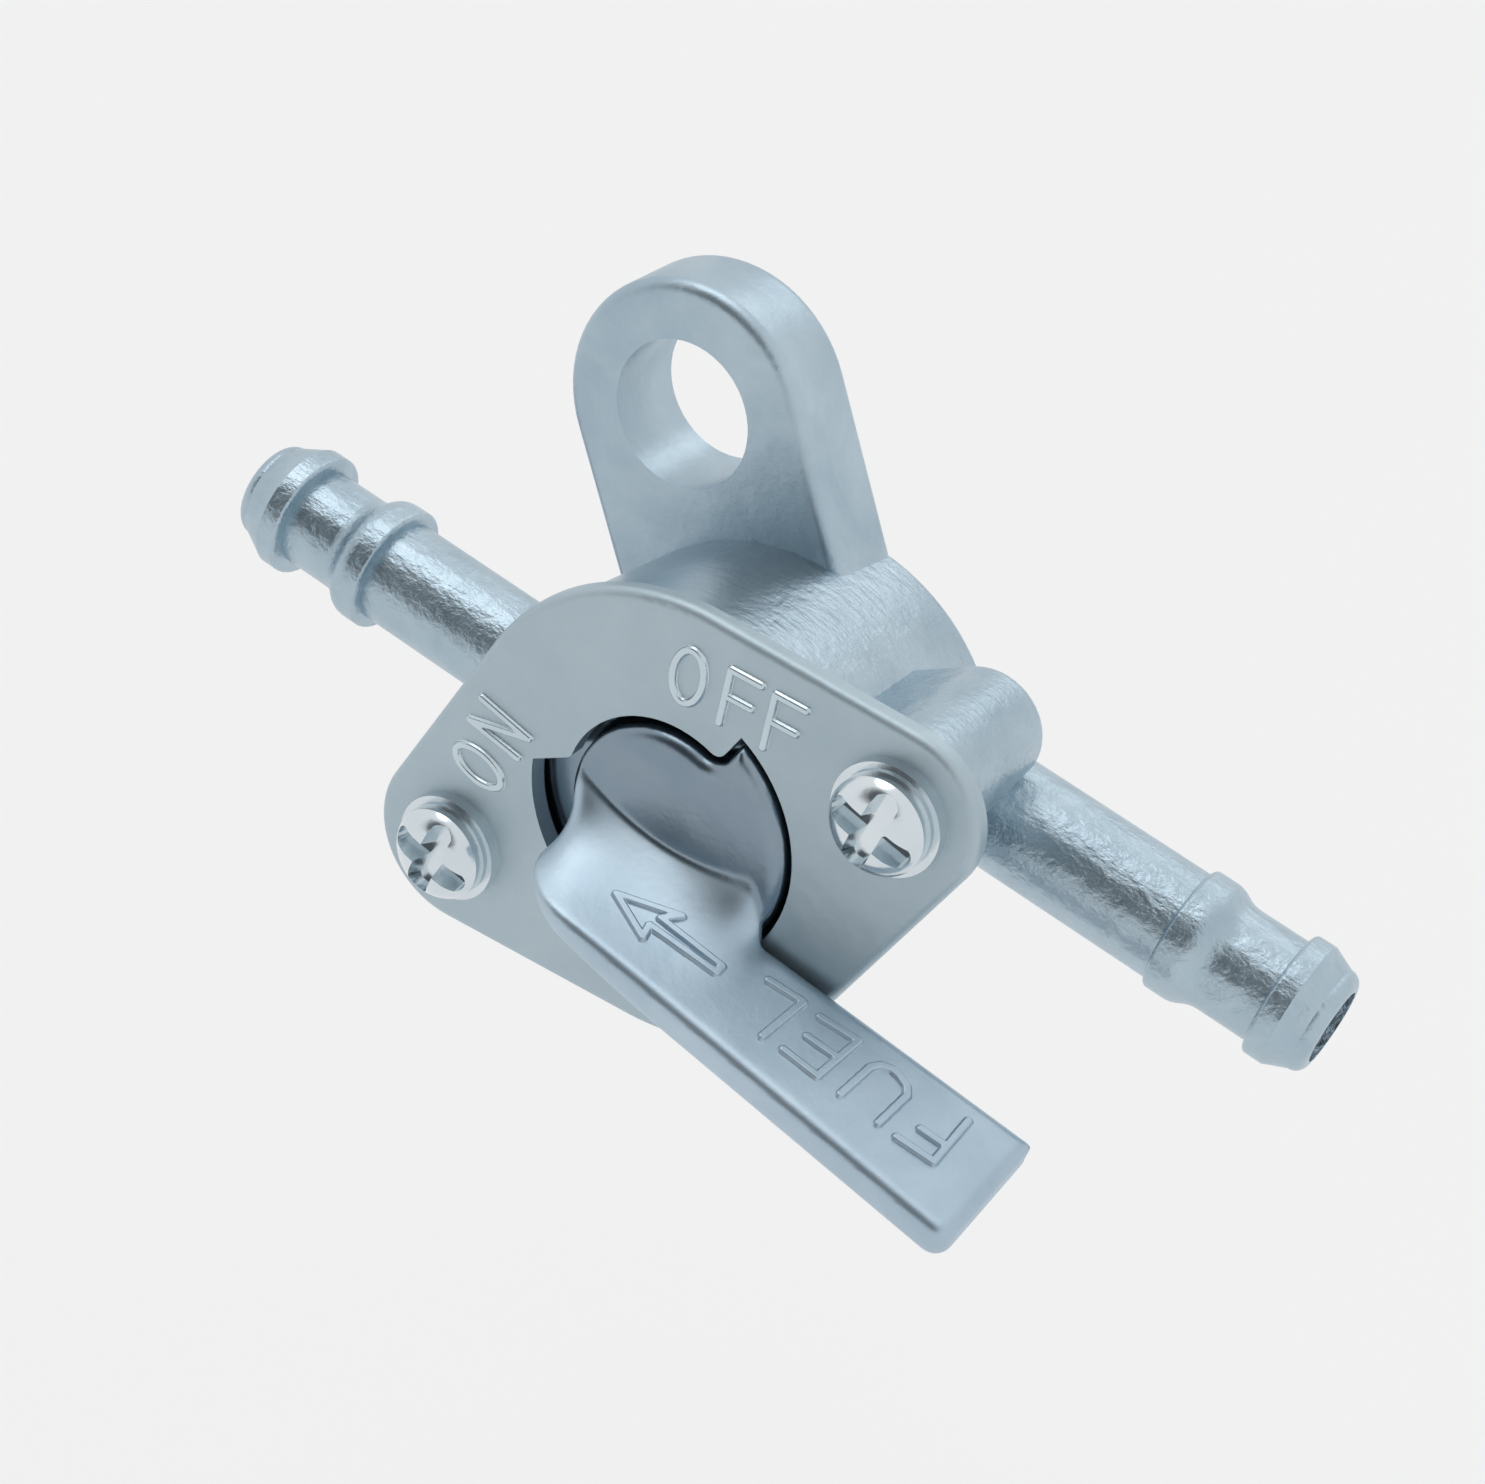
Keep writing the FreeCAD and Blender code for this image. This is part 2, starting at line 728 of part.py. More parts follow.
pad(lever, "hub", hub_sketch, "dims.hub_proud + " + DISC_FRONT)
hub_front = -number("dims.hub_proud")
round_edges(lever, "hub_rounds", "dims.hub_round", lambda edge: at_depth(edge, hub_front))

# Valve disc with its ring groove
GROOVE_HALF = "(dims.ring_section / 2 + dims.groove_clearance)"
GROOVE_MIDDLE = "(" + DISC_FRONT + " + dims.disc_thickness / 2)"
GROOVE_RADIUS = "(" + DISC_RADIUS + " - dims.ring_section)"
disc_sketch = new_sketch(lever, "disc_profile", "XY_Plane")
contour(
    disc_sketch,
    [
        ("0", DISC_FRONT),
        (DISC_RADIUS, DISC_FRONT),
        (DISC_RADIUS, GROOVE_MIDDLE + " - " + GROOVE_HALF),
        (GROOVE_RADIUS, GROOVE_MIDDLE + " - " + GROOVE_HALF),
        (GROOVE_RADIUS, GROOVE_MIDDLE + " + " + GROOVE_HALF),
        (DISC_RADIUS, GROOVE_MIDDLE + " + " + GROOVE_HALF),
        (DISC_RADIUS, DISC_BACK),
        ("0", DISC_BACK),
    ],
)
turn(lever, "disc", disc_sketch, "V_Axis")


# Root: a concave blend from the blade's face down to the hub's low half
root_form = doc.addObject("PartDesign::Body", "root_form")


def root_section(along):
    """Section of the root across the blade, a distance along it."""
    sketch = new_sketch(root_form, "root_section")
    stand = Rotation(Vector(0, 1, 0), 90) * Rotation(Vector(0, 0, 1), 90)
    sketch.AttachmentOffset = blade_frame(along, 0, stand)
    return sketch


def draw_root(along):
    """Fill one section: an arc along the blade's face, and the hub's inside."""
    sketch = root_section(along)
    lean = math.radians(number("dims.blade_lean"))
    offset = number("dims.blade_offset")
    blend = number("dims.root_blend")
    inset = number("dims.root_inset")
    middle = number("dims.root_toe_middle")
    spread = middle + number("dims.root_toe_end")
    bow = spread * (along / number("dims.root_nose")) ** 2 - middle
    out = Vector(math.cos(lean), math.sin(lean), 0)
    top = Vector(-offset - blend * math.sin(lean), blend * math.cos(lean), 0)
    top = top - out * number("dims.root_sink")
    toe = Vector(bow, number("dims.hub_proud"), 0)
    reach = toe - top
    radius = reach.Length ** 2 / (2 * reach.dot(out))
    foot = Vector(toe.x, number("dims.hub_proud / 2"), 0)
    heel = Vector(-offset - inset, foot.y, 0)
    back = top - out * inset
    sketch.addGeometry(arc_between(top, toe, radius, 1), False)
    for start, end in ((toe, foot), (foot, heel), (heel, back), (back, top)):
        sketch.addGeometry(Part.LineSegment(start, end), False)
    for side in range(5):
        sketch.addConstraint(Sketcher.Constraint("Coincident", side, 2, (side + 1) % 5, 1))
    for side in range(5):
        sketch.addConstraint(Sketcher.Constraint("Block", side))
    return sketch


heel = number("dims.root_heel")
end = number("dims.root_end + dims.root_blend / 2")
sections = [draw_root(place) for place in (-heel, -heel / 2, 0.0, end / 2, end)]
doc.recompute()
loft = root_form.newObject("PartDesign::AdditiveLoft", "root_loft")
loft.Profile = sections[0]
loft.Sections = sections[1:]
loft.Ruled = False
doc.recompute()
heel_trim = front_sketch(root_form, "root_heel_outline", "-2 * " + TIP_HEIGHT)
heading = Rotation(Vector(0, 0, 1), number("dims.blade_azimuth"))
heel_trim.AttachmentOffset = Placement(heel_trim.AttachmentOffset.Base, heading)
FAR = "2 * dims.root_heel_radius"
contour(
    heel_trim,
    [
        ("0", "dims.root_heel_radius"),
        ("-dims.root_heel_radius", "0"),
        ("0", "-dims.root_heel_radius"),
        ("0", "-" + FAR),
        ("-" + FAR, "-" + FAR),
        ("-" + FAR, FAR),
        ("0", FAR),
    ],
    {0: ("dims.root_heel_radius", 1), 1: ("dims.root_heel_radius", 1)},
)
pocket(root_form, "root_heel_wall", heel_trim, "3 * " + TIP_HEIGHT)
end_trim = front_sketch(root_form, "root_end_outline", "-2 * " + TIP_HEIGHT)
end_trim.AttachmentOffset = Placement(end_trim.AttachmentOffset.Base, heading)
SLANT = "dims.blade_reach * tan(dims.root_slant)"
contour(
    end_trim,
    [
        ("dims.root_end - " + SLANT, "dims.blade_reach"),
        ("dims.root_end + " + SLANT, "-dims.blade_reach"),
        ("2 * dims.blade_reach", "-dims.blade_reach"),
        ("2 * dims.blade_reach", "dims.blade_reach"),
    ],
)
pocket(root_form, "root_end_wall", end_trim, "3 * " + TIP_HEIGHT)



def on_root_end(edge):
    """True for the curved edge between the blend and the root's slanted end."""
    slant = math.tan(math.radians(number("dims.root_slant")))
    places = [heel_trim.Placement.inverse().multVec(spot) for spot in spots(edge)]
    in_plane = all(
        abs(place.x + place.y * slant - number("dims.root_end")) < 1e-3 for place in places
    )
    low, high = sorted([-spots(edge)[0].y, -spots(edge)[2].y])
    proud = number("dims.hub_proud")
    return in_plane and abs(low - proud) < 1e-3 and high > 2 * proud


round_edges(root_form, "root_end_round", "dims.root_end_round", on_root_end)

# The blade and its root join the hub
join = lever.newObject("PartDesign::Boolean", "blade_join")
join.Type = "Fuse"
join.setObjects([blade_form, root_form])
doc.recompute()

# Flow channel across the disc's back, in line with the two ports when open
channel_sketch = new_sketch(lever, "channel_outline")
channel_turn = Rotation(Vector(0, 0, 1), number("dims.spigot_angle"))
channel_sketch.AttachmentOffset = Placement(Vector(0, 0, 0), channel_turn)
channel_sketch.setExpression("AttachmentOffset.Base.z", "-" + DISC_BACK)
HALF = "dims.channel_width / 2"
contour(
    channel_sketch,
    [
        (HALF, "-dims.spigot_offset"),
        (HALF, "dims.spigot_offset"),
        ("0", "dims.spigot_offset + " + HALF),
        ("-" + HALF, "dims.spigot_offset"),
        ("-" + HALF, "-dims.spigot_offset"),
        ("0", "-dims.spigot_offset - " + HALF),
    ],
    {1: (HALF, 1), 2: (HALF, 1), 4: (HALF, 1), 5: (HALF, 1)},
)
disc_before = lever.Shape.Volume
channel = lever.newObject("PartDesign::Pocket", "channel")
channel.Profile = channel_sketch
channel.Reversed = True
channel.setExpression("Length", "dims.channel_depth")
doc.recompute()
if lever.Shape.Volume >= disc_before:
    raise RuntimeError("the flow channel cut nothing")

# Seal under the disc, with a hole over each port

seal = new_piece("port_seal")
seal_sketch = front_sketch(seal, "seal_outline", SEAL_FRONT)
circle(seal_sketch, 0, 0, DISC_RADIUS)
pad(seal, "seal_blank", seal_sketch, "dims.seal_thickness")
seal_hole_sketch = front_sketch(seal, "seal_hole_outline", SEAL_FRONT)
for port_x, port_z in PORTS:
    circle(seal_hole_sketch, port_x, port_z, "dims.port_radius")
pocket(seal, "seal_holes", seal_hole_sketch, "dims.seal_thickness")

# Sealing ring in the disc's groove

ring = new_piece("lever_o_ring")
ring_sketch = new_sketch(ring, "ring_section", "XY_Plane")
RING_INSIDE = DISC_RADIUS + " - dims.ring_section"
RING_FRONT = GROOVE_MIDDLE + " - dims.ring_section / 2"
RING_BACK = GROOVE_MIDDLE + " + dims.ring_section / 2"
contour(
    ring_sketch,
    [
        (RING_INSIDE, RING_FRONT),
        (DISC_RADIUS, RING_FRONT),
        (DISC_RADIUS, RING_BACK),
        (RING_INSIDE, RING_BACK),
    ],
)
turn(ring, "ring", ring_sketch, "V_Axis")

# Wave spring between the plate and the disc


def wave_edge(radius):
    """Closed wavy curve about the valve axis."""
    count = int(number("dims.wave_count"))
    swing = (number("dims.wave_height") - number("dims.wave_thickness")) / 2
    middle = number(DISC_FRONT + " - dims.wave_thickness - dims.wave_seat_gap") - swing
    steps = 12 * count
    points = []
    for step in range(steps):
        angle = 2 * math.pi * step / steps
        depth = middle + swing * math.cos(count * angle)
        points.append(Vector(radius * math.cos(angle), depth, radius * math.sin(angle)))
    curve = Part.BSplineCurve()
    curve.interpolate(points, PeriodicFlag=True)
    return Part.Wire([curve.toShape()])


wave_outer = number("dims.chamber_radius - dims.wave_rim_gap")
wave_inner = wave_outer - number("dims.wave_width")
ribbon = Part.makeRuledSurface(wave_edge(wave_inner), wave_edge(wave_outer))
wave = doc.addObject("Part::Feature", "wave_spring")
wave.Label = "wave_spring"
wave.Shape = ribbon.extrude(Vector(0, number("dims.wave_thickness"), 0))
wave.Placement = Placement(
    Vector(0, -number("dims.lug_setback + dims.lug_thickness / 2"), -number("dims.eye_height")),
    Rotation(),
)


# Screws with spring washers

def place_at_screw(piece, angle):
    """Move a piece from the valve axis to a screw's axis."""
    across, rise = polar("dims.screw_reach", angle)
    piece.setExpression("Placement.Base.x", across)
    piece.setExpression("Placement.Base.z", rise + " - dims.eye_height")


def make_washer(name, angle):
    """Split spring washer, turned short of a full circle."""
    piece = new_piece(name)
    place_at_screw(piece, angle)
    section = new_sketch(piece, name + "_section", "XY_Plane")
    opened = Rotation(Vector(0, 1, 0), number("dims.washer_turn + dims.washer_split / 2"))
    section.AttachmentOffset = Placement(Vector(0, 0, 0), opened)
    inner = "dims.thread_radius + dims.washer_gap"
    contour(
        section,
        [
            (inner, "-dims.washer_thickness"),
            ("dims.washer_radius", "-dims.washer_thickness"),
            ("dims.washer_radius", "0"),
            (inner, "0"),
        ],
    )
    turn(piece, name + "_ring", section, "V_Axis", angle="360 - dims.washer_split")
    return piece


def make_screw(name, angle):
    """Pan head screw with a cross recess, its head on the spring washer."""
    piece = new_piece(name)
    place_at_screw(piece, angle)
    seat = "-dims.washer_thickness"
    crown = "(-dims.washer_thickness - dims.head_height)"
    shank = "dims.thread_radius - dims.thread_gap"
    profile = new_sketch(piece, name + "_profile", "XY_Plane")
    contour(
        profile,
        [
            ("0", crown),
            ("dims.crown_radius", crown + " + dims.crown_drop"),
            ("dims.head_radius", seat + " - dims.head_rim"),
            ("dims.head_radius", seat + " - dims.head_chamfer"),
            ("dims.head_radius - dims.head_chamfer", seat),
            (shank, seat),
            (shank, "dims.screw_length - dims.screw_chamfer"),
            (shank + " - dims.screw_chamfer", "dims.screw_length"),
            ("0", "dims.screw_length"),
        ],
        {1: ("dims.crown_bow", 1)},
    )
    turn(piece, name + "_blank", profile, "V_Axis")
    recess = front_sketch(piece, name + "_recess", crown)
    turned = Rotation(Vector(0, 0, 1), number("dims.recess_turn"))
    recess.AttachmentOffset = Placement(recess.AttachmentOffset.Base, turned)
    half = "dims.recess_width / 2"
    long = "dims.recess_length / 2"
    contour(
        recess,
        [
            (long, "-" + half), (long, half), (half, half), (half, long),
            ("-" + half, long), ("-" + half, half), ("-" + long, half), ("-" + long, "-" + half),
            ("-" + half, "-" + half), ("-" + half, "-" + long), (half, "-" + long), (half, "-" + half),
        ],
        {side: ("dims.recess_bow", 1) for side in (0, 3, 6, 9)},
    )
    pocket(piece, name + "_cross", recess, "dims.recess_depth", draft="-dims.recess_draft")
    return piece


fasteners = []
for word, angle in SIDES:
    fasteners.append(make_washer("spring_washer_" + word, angle))
    fasteners.append(make_screw("screw_" + word, angle))

# Check every object, then write one file for each piece

doc.recompute()
for item in doc.Objects:
    if "Invalid" in item.State or "Error" in item.State:
        raise RuntimeError("failed: %s %s" % (item.Name, item.State))
pieces = [body, plate, lever, seal, ring, wave] + fasteners
for piece in pieces:
    shape = piece.Shape
    if shape.isNull() or not shape.isValid() or len(shape.Solids) != 1:
        raise RuntimeError("bad solid: " + piece.Label)
os.makedirs("parts", exist_ok=True)
for piece in pieces:
    piece.Shape.exportStep("parts/%s.step" % piece.Label)
    box = piece.Shape.BoundBox
    print("%s volume %.2f box %s" % (piece.Label, piece.Shape.Volume, box))
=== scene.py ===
import math
import bpy
import numpy as np
from mathutils import Matrix, Vector
from mathutils.bvhtree import BVHTree


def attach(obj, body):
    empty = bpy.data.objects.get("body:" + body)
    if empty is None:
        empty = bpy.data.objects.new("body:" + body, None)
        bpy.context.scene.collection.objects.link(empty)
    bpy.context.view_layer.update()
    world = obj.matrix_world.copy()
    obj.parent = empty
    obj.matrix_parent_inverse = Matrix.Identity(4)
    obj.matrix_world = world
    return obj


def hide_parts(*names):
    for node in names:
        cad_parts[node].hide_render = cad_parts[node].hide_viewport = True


# Looks of the fuel tap: zinc plating on rough and smooth castings, raised
# lettering, soft studio light and the photograph's camera.
# Sizes are in metres, and MM turns millimetres into metres.

MM = 0.001

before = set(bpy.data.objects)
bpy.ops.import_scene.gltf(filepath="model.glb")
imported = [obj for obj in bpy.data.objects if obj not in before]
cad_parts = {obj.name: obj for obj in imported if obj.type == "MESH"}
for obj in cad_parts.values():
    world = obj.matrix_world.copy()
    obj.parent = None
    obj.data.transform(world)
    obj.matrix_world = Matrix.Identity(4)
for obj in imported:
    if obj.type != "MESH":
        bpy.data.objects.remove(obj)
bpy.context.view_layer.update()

# Places in the frame, whose origin is the centre of the mounting eye
VALVE_DEPTH = -12.9 * MM
VALVE_HEIGHT = -18.0 * MM
VALVE = Vector((0, VALVE_DEPTH, VALVE_HEIGHT))
OUT = Vector((0, -1, 0))

# The lever's blade: its direction in the plate's plane, the lean of its face
# and the distance of that face from the valve axis
BLADE_ANGLE = math.radians(-39.1)
BLADE_LEAN = math.radians(15.0)
BLADE_OFFSET = 1.75 * MM
along = Vector((math.cos(BLADE_ANGLE), 0, math.sin(BLADE_ANGLE)))
aside = Vector((-math.sin(BLADE_ANGLE), 0, math.cos(BLADE_ANGLE)))

CAMERA_PLACE = Vector((96.76, -125.67, 30.41)) * MM


# Node helpers

def new_material(name):
    """Material with an empty node tree, and its output."""
    material = bpy.data.materials.new(name)
    material.use_nodes = True
    tree = material.node_tree
    tree.nodes.clear()
    output = tree.nodes.new("ShaderNodeOutputMaterial")
    return material, tree, output


def feed(tree, socket, value):
    """Link a node's output to a socket, or set the socket to a plain value."""
    if isinstance(value, bpy.types.NodeSocket):
        tree.links.new(value, socket)
    else:
        socket.default_value = value


def node(tree, kind, settings=None, **inputs):
    """Shader node with its settings and its input values or links."""
    made = tree.nodes.new(kind)
    for key, value in (settings or {}).items():
        setattr(made, key, value)
    for key, value in inputs.items():
        feed(tree, made.inputs[key.replace("_", " ")], value)
    return made


def noise(tree, place, scale, detail=4.0, rough=0.55, distortion=0.0):
    """Noise pattern over the object's own coordinates."""
    return node(
        tree,
        "ShaderNodeTexNoise",
        Vector=place,
        Scale=scale,
        Detail=detail,
        Roughness=rough,
        Distortion=distortion,
    ).outputs["Fac"]


def ramp(tree, value, stops):
    """Colour ramp through the stops, each a position and a colour."""
    made = node(tree, "ShaderNodeValToRGB", Fac=value)
    elements = made.color_ramp.elements
    for index, (position, colour) in enumerate(stops):
        element = elements[index] if index < 2 else elements.new(position)
        element.position = position
        element.color = (*colour, 1.0)
    return made.outputs["Color"]


def span(tree, value, low, high):
    """Spread a zero to one value between two limits."""
    made = node(tree, "ShaderNodeMapRange", Value=value, To_Min=low, To_Max=high)
    return made.outputs["Result"]


def eased(tree, value, limits, low=0.0, high=1.0):
    """Smooth step from low to high as a value runs between two limits."""
    return node(
        tree,
        "ShaderNodeMapRange",
        {"interpolation_type": "SMOOTHSTEP"},
        Value=value,
        From_Min=limits[0],
        From_Max=limits[1],
        To_Min=low,
        To_Max=high,
    ).outputs["Result"]


def combined(tree, operation, first, second):
    """Result of a math operation on two values, each a link or a number."""
    made = node(tree, "ShaderNodeMath", {"operation": operation})
    feed(tree, made.inputs[0], first)
    feed(tree, made.inputs[1], second)
    return made.outputs[0]


def total(tree, *parts):
    """Weighted sum of patterns, each given as a value and its weight."""
    scaled = [combined(tree, "MULTIPLY", value, weight) for value, weight in parts]
    result = scaled[0]
    for value in scaled[1:]:
        result = combined(tree, "ADD", result, value)
    return result


def stretched(tree, place, factors):
    """Coordinates scaled along each axis, for brushed or drawn-out patterns."""
    mapping = node(tree, "ShaderNodeMapping", Vector=place, Scale=factors)
    return mapping.outputs["Vector"]


# Zinc plating: bluish silver over whatever surface the piece was made with

CLOUD_SCALE = 190.0
PIT_SCALE = 520.0
PIT_EDGE = (0.06, 0.22)
BLACK = (0.0, 0.0, 0.0)
WHITE = (1.0, 1.0, 1.0)

# The lever is polished smoother at its hub's face and behind it, and painted shade darkens its
# colour there, standing in for the dark reflection of that face
HUB_POLISH_AND_SHADE_DEPTHS = (VALVE_DEPTH - 0.7 * MM, VALVE_DEPTH - 0.5 * MM)
RUB_POLISH = 0.16
HUB_PAINTED_SHADE_SHARE = 0.75
HUB_PAINTED_SHADE_TONE = (0.40, 0.42, 0.44, 1.0)

# The casting is calmer within these distances of the mounting eye's axis
CALM_RADII = (9.0 * MM, 13.0 * MM)
CALM_BUMP = 0.3
CALM_SATIN = 0.056

# Numbers of a Mix node's colour sockets
MIX_FIRST = 6
MIX_SECOND = 7
MIX_RESULT = 2


def hub_polish_and_painted_shade(tree, place, colour, roughness):
    """Colour with painted shade and roughness with polish at the hub's face."""
    depth = node(tree, "ShaderNodeSeparateXYZ", Vector=place).outputs["Y"]
    share = eased(tree, depth, HUB_POLISH_AND_SHADE_DEPTHS)
    smoother = combined(tree, "SUBTRACT", roughness, combined(tree, "MULTIPLY", share, RUB_POLISH))
    settings = {"data_type": "RGBA", "blend_type": "MULTIPLY"}
    # Painted shade: the hub face's colour multiplied by a dark tone
    darker = node(tree, "ShaderNodeMix", settings, Factor=span(tree, share, 0.0, HUB_PAINTED_SHADE_SHARE))
    feed(tree, darker.inputs[MIX_FIRST], colour)
    feed(tree, darker.inputs[MIX_SECOND], HUB_PAINTED_SHADE_TONE)
    return darker.outputs[MIX_RESULT], smoother


def calm_lug(tree, place, roughness):
    """Bump strength and roughness with the lug calmer than the rest."""
    across = stretched(tree, place, (1.0, 0.0, 1.0))
    reach = node(tree, "ShaderNodeVectorMath", {"operation": "LENGTH"})
    feed(tree, reach.inputs[0], across)
    distance = reach.outputs["Value"]
    satin = eased(tree, distance, CALM_RADII, CALM_SATIN, 0.0)
    return eased(tree, distance, CALM_RADII, CALM_BUMP, 1.0), combined(tree, "ADD", roughness, satin)


def plated(name, tones, rough, grain, bumps, pits=0.0, brush=None, polish_and_painted_shade=False, calm=False):
    """Zinc plating over a cast, pressed or turned surface.

    tones are the darker and the lighter colour, rough is the range of
    roughness, grain the scale of its pattern, bumps lists scales and weights,
    and brush gives the stretch, the scale and the weight of drawn-out marks.
    """
    material, tree, output = new_material(name)
    place = node(tree, "ShaderNodeTexCoord").outputs["Object"]
    clouds = noise(tree, place, CLOUD_SCALE, 5.0, 0.6, 0.4)
    colour = ramp(tree, clouds, [(0.3, tones[0]), (0.7, tones[1])])
    fine = noise(tree, place, grain, 6.0, 0.7)
    roughness = span(tree, total(tree, (fine, 0.6), (clouds, 0.4)), *rough)
    # Painted shade on the hub's face, with a smoother roughness there
    if polish_and_painted_shade:
        colour, roughness = hub_polish_and_painted_shade(tree, place, colour, roughness)
    parts = [(noise(tree, place, scale, 5.0, 0.6), weight) for scale, weight in bumps]
    if brush:
        stretch, scale, weight = brush
        parts.append((noise(tree, stretched(tree, place, stretch), scale, 3.0, 0.6), weight))
    if pits:
        cells = node(tree, "ShaderNodeTexVoronoi", Vector=place, Scale=PIT_SCALE)
        stops = [(PIT_EDGE[0], BLACK), (PIT_EDGE[1], WHITE)]
        parts.append((ramp(tree, cells.outputs["Distance"], stops), pits))
    strength = 1.0
    if calm:
        strength, roughness = calm_lug(tree, place, roughness)
    height = total(tree, *parts)
    bump = node(tree, "ShaderNodeBump", Height=height, Strength=strength, Distance=1.0 * MM)
    shader = node(
        tree,
        "ShaderNodeBsdfPrincipled",
        Base_Color=colour,
        Roughness=roughness,
        Normal=bump.outputs["Normal"],
        Metallic=1.0,
    )
    tree.links.new(shader.outputs["BSDF"], output.inputs["Surface"])
    return material


casting = plated(
    "zinc_casting",
    tones=((0.37, 0.475, 0.545), (0.49, 0.60, 0.67)),
    rough=(0.24, 0.40),
    grain=2600.0,
    bumps=((420.0, 0.09), (1400.0, 0.08), (4200.0, 0.02)),
    pits=0.012,
    brush=((0.3, 1.0, 0.3), 2600.0, 0.07),
    calm=True,
)
sheet = plated(
    "plated_sheet",
    tones=((0.44, 0.535, 0.585), (0.49, 0.585, 0.635)),
    rough=(0.45, 0.55),
    grain=3200.0,
    bumps=((90.0, 0.22), (900.0, 0.008), (6000.0, 0.004)),
)
# Painted highlight: the letters' plating is lighter than that of the sheet they are pressed in;
# their lower roughness is a roughness setting
letters = plated(
    "plated_letters_painted_highlight",
    tones=((0.52, 0.62, 0.67), (0.60, 0.69, 0.735)),
    rough=(0.18, 0.28),
    grain=3200.0,
    bumps=((2400.0, 0.010), (6000.0, 0.004)),
)
smooth = plated(
    "plated_lever",
    tones=((0.40, 0.51, 0.60), (0.50, 0.61, 0.69)),
    rough=(0.36, 0.46),
    grain=2800.0,
    bumps=((500.0, 0.020), (3000.0, 0.007)),
    # painted shade and polish on the hub's face
    polish_and_painted_shade=True,
)
bright = plated(
    "plated_screw",
    tones=((0.64, 0.71, 0.75), (0.76, 0.82, 0.85)),
    rough=(0.12, 0.22),
    grain=3000.0,
    bumps=((1200.0, 0.012), (5000.0, 0.004)),
)
spring = plated(
    "spring_steel",
    tones=((0.30, 0.31, 0.33), (0.42, 0.43, 0.45)),
    rough=(0.25, 0.4),
    grain=3000.0,
    bumps=((1800.0, 0.008),),
)


# Rubber of the hidden seals

BLOOM_SCALE = 900.0
BLOOM_TONES = [(0.3, (0.010, 0.010, 0.011)), (0.8, (0.030, 0.030, 0.032))]
BLOOM_DEPTH = 0.05 * MM


def rubber_material():
    """Black nitrile rubber with a faint bloom."""
    material, tree, output = new_material("seal_rubber")
    place = node(tree, "ShaderNodeTexCoord").outputs["Object"]
    bloom = noise(tree, place, BLOOM_SCALE, 5.0)
    bump = node(tree, "ShaderNodeBump", Height=bloom, Strength=0.3, Distance=BLOOM_DEPTH)
    shader = node(
        tree,
        "ShaderNodeBsdfPrincipled",
        Base_Color=ramp(tree, bloom, BLOOM_TONES),
        Roughness=span(tree, bloom, 0.45, 0.7),
        Normal=bump.outputs["Normal"],
    )
    tree.links.new(shader.outputs["BSDF"], output.inputs["Surface"])
    return material


rubber = rubber_material()

finishes = {
    "body": casting,
    "retainer_plate": sheet,
    "lever": smooth,
    "port_seal": rubber,
    "lever_o_ring": rubber,
    "wave_spring": spring,
    "screw_left": bright,
    "screw_right": bright,
    "spring_washer_left": bright,
    "spring_washer_right": bright,
}
for name, material in finishes.items():
    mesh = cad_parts[name].data
    mesh.materials.clear()
    mesh.materials.append(material)


# Lever as cast: the same solid with its folds run out and its edges softened.
# Its places are in millimetres from the valve's centre: run along the blade,
# side across it, and proud out of the plate.

VOXEL = 0.15 * MM
RELAX_STEP = 0.5
HEEL_RUN = 0.13
HEEL_HIGH = 1.9
HEEL_RADIUS = 4.55
HUB_PROUD = 0.42
FOLD_RISE = (HUB_PROUD + 0.1, HUB_PROUD + 1.2)
FOLD_TOP = (5.0, 6.0)
FOLD_END = (6.5, 9.0)
FOLD_EDGE = (-3.6, -2.9)
FOLD_PASSES = 700
FRONT = (0.0, 0.4)
SOFT_PASSES = 3
TINY = 1e-9


def smooth_step(value, low, high):
    """Zero below low, one above high, smooth between."""
    share = np.clip((value - low) / (high - low), 0.0, 1.0)
    return share * share * (3 - 2 * share)


def relaxed(places, edges, weight, passes):
    """Points moved towards the middle of their neighbours, by weight."""
    count = len(places)
    ends = np.concatenate((edges[:, 0], edges[:, 1]))
    others = np.concatenate((edges[:, 1], edges[:, 0]))
    degree = np.bincount(ends, minlength=count)[:, None]
    for _ in range(passes):
        sums = [np.bincount(ends, places[others, axis], count) for axis in range(3)]
        middle = np.stack(sums, axis=1) / degree
        places = places + RELAX_STEP * weight[:, None] * (middle - places)
    return places


def remeshed(mesh, name):
    """New piece with an even mesh in the shape of another mesh."""
    piece = bpy.data.objects.new(name, mesh.copy())
    bpy.context.scene.collection.objects.link(piece)
    remesh = piece.modifiers.new("remesh", "REMESH")
    remesh.mode = "VOXEL"
    remesh.voxel_size = VOXEL
    graph = bpy.context.evaluated_depsgraph_get()
    shape = bpy.data.meshes.new_from_object(piece.evaluated_get(graph))
    piece.modifiers.clear()
    piece.data = shape
    return piece


def heel_kept_round(places):
    """Root's end pulled within the round outline of the blade's heel."""
    run = places @ np.array(along)
    high = -places[:, 1] / math.cos(BLADE_LEAN)
    reach = np.hypot(run - HEEL_RUN, high - HEEL_HIGH)
    outside = (run < HEEL_RUN) & (high > HEEL_HIGH) & (reach > HEEL_RADIUS)
    pull = np.where(outside, HEEL_RADIUS / np.maximum(reach, TINY) - 1.0, 0.0)
    places = places + np.outer(pull * (run - HEEL_RUN), np.array(along))
    places[:, 1] -= pull * (high - HEEL_HIGH) * math.cos(BLADE_LEAN)
    return places


def fold_weight(run, side, proud):
    """One in the fold between the root and the blade, fading out round it."""
    weight = smooth_step(proud, *FOLD_RISE)
    weight *= 1.0 - smooth_step(proud, *FOLD_TOP)
    weight *= 1.0 - smooth_step(run, *FOLD_END)
    weight *= smooth_step(side, *FOLD_EDGE)
    return weight


